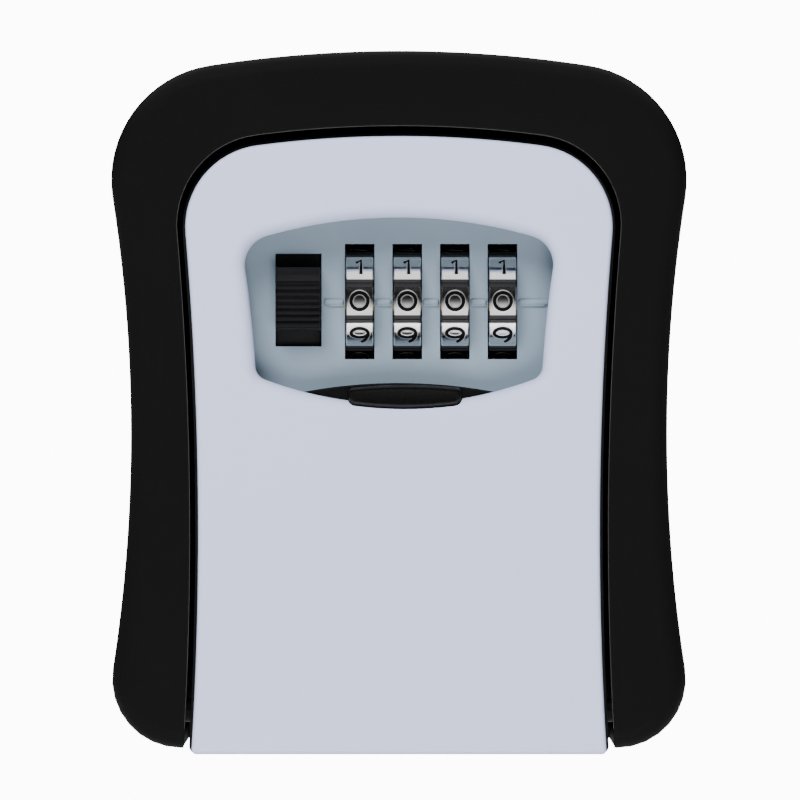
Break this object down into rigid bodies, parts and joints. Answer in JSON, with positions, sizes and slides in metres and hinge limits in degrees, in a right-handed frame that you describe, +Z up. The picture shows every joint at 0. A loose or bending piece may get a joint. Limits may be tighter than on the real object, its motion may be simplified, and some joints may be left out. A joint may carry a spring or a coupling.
{
  "type": "key lock box",
  "caption": "Wall-mounted key lock box: cast key store in a waisted black cover, drop-down door with number wheels, open slider and sliding dust shutter.",
  "frame": {"origin": "centre of the four wall-screw holes, on the back face", "axes": "+Z up, +Y towards the wall, +X to the right seen from the front"},
  "size_m": [0.0968, 0.041, 0.1182],
  "materials": {
    "shell_plastic": "satin moulded black ABS",
    "cast_body": "black powder coat on die-cast zinc",
    "face_paint": "silver-grey enamel on die-cast zinc",
    "tray_plastic": "satin blue-grey moulded plastic",
    "wheel_chrome": "bright chrome with black filled digits",
    "slider_plastic": "satin black moulded plastic",
    "shutter_plastic": "satin black moulded plastic",
    "lever_plastic": "red moulded plastic",
    "zinc_steel": "zinc plated pressed steel",
    "screw_steel": "zinc plated",
    "pin_steel": "black oxide on ground steel",
    "spring_steel": "blued spring steel",
    "sleeve_brass": "turned brass",
    "seal_rubber": "matt black rubber"
  },
  "bodies": {
    "box": {"outer_shell": "shell_plastic", "inner_box": "cast_body", "strike_plate": "zinc_steel", "strike_screws": "screw_steel", "shell_screws": "screw_steel", "seal_left": "seal_rubber", "seal_right": "seal_rubber", "hinge_pin_left": "pin_steel", "hinge_pin_right": "pin_steel"},
    "door": {"door_faceplate": "face_paint", "door_frame": "cast_body", "dial_housing": "tray_plastic", "wheel_axle": "pin_steel", "axle_clips": "spring_steel", "detent_comb": "spring_steel", "comb_screws": "screw_steel", "mechanism_cover": "zinc_steel", "cover_screws": "screw_steel", "faceplate_screws": "screw_steel", "housing_screws": "screw_steel", "code_spring": "spring_steel", "latch_spring_left": "spring_steel", "latch_spring_right": "spring_steel"},
    "latch": {"open_slider": "slider_plastic", "latch_plate": "zinc_steel", "slider_screw": "screw_steel"},
    "shutter": {"shutter": "shutter_plastic"},
    "code_lever": {"code_change_lever": "lever_plastic"},
    "wheel_1": {"number_wheel_1": "wheel_chrome"},
    "sleeve_1": {"code_sleeve_1": "sleeve_brass"},
    "wheel_2": {"number_wheel_2": "wheel_chrome"},
    "sleeve_2": {"code_sleeve_2": "sleeve_brass"},
    "wheel_3": {"number_wheel_3": "wheel_chrome"},
    "sleeve_3": {"code_sleeve_3": "sleeve_brass"},
    "wheel_4": {"number_wheel_4": "wheel_chrome"},
    "sleeve_4": {"code_sleeve_4": "sleeve_brass"}
  },
  "joints": [
    {"name": "door_hinge", "type": "hinge", "parent": "box", "child": "door", "pos_m": [0, -0.034, -0.052], "axis": [1, 0, 0], "range_deg": [0, 100]},
    {"name": "latch_slide", "type": "slide", "parent": "door", "child": "latch", "axis": [0, 0, 1], "range_m": [-0.0026, 0], "stiffness_N_per_m": 300, "springref_m": 0.004, "deforming": ["latch_spring_left", "latch_spring_right"]},
    {"name": "shutter_slide", "type": "slide", "parent": "door", "child": "shutter", "axis": [0, 0, 1], "range_m": [0, 0.0275]},
    {"name": "code_lever_slide", "type": "slide", "parent": "door", "child": "code_lever", "axis": [1, 0, 0], "range_m": [0, 0.0015], "stiffness_N_per_m": 200, "springref_m": -0.002, "deforming": ["code_spring"]},
    {"name": "wheel_1_spin", "type": "hinge", "parent": "door", "child": "wheel_1", "pos_m": [0, -0.0264, 0.017], "axis": [1, 0, 0], "continuous": true},
    {"name": "wheel_2_spin", "type": "hinge", "parent": "door", "child": "wheel_2", "pos_m": [0, -0.0264, 0.017], "axis": [1, 0, 0], "continuous": true},
    {"name": "wheel_3_spin", "type": "hinge", "parent": "door", "child": "wheel_3", "pos_m": [0, -0.0264, 0.017], "axis": [1, 0, 0], "continuous": true},
    {"name": "wheel_4_spin", "type": "hinge", "parent": "door", "child": "wheel_4", "pos_m": [0, -0.0264, 0.017], "axis": [1, 0, 0], "continuous": true},
    {"name": "sleeve_1_shift", "type": "slide", "parent": "wheel_1", "child": "sleeve_1", "axis": [1, 0, 0], "range_m": [0, 0.0015]},
    {"name": "sleeve_2_shift", "type": "slide", "parent": "wheel_2", "child": "sleeve_2", "axis": [1, 0, 0], "range_m": [0, 0.0015]},
    {"name": "sleeve_3_shift", "type": "slide", "parent": "wheel_3", "child": "sleeve_3", "axis": [1, 0, 0], "range_m": [0, 0.0015]},
    {"name": "sleeve_4_shift", "type": "slide", "parent": "wheel_4", "child": "sleeve_4", "axis": [1, 0, 0], "range_m": [0, 0.0015]}
  ],
  "couplings": [
    {"joint": "sleeve_1_shift", "follows": "code_lever_slide", "ratio": 1},
    {"joint": "sleeve_2_shift", "follows": "code_lever_slide", "ratio": 1},
    {"joint": "sleeve_3_shift", "follows": "code_lever_slide", "ratio": 1},
    {"joint": "sleeve_4_shift", "follows": "code_lever_slide", "ratio": 1}
  ]
}
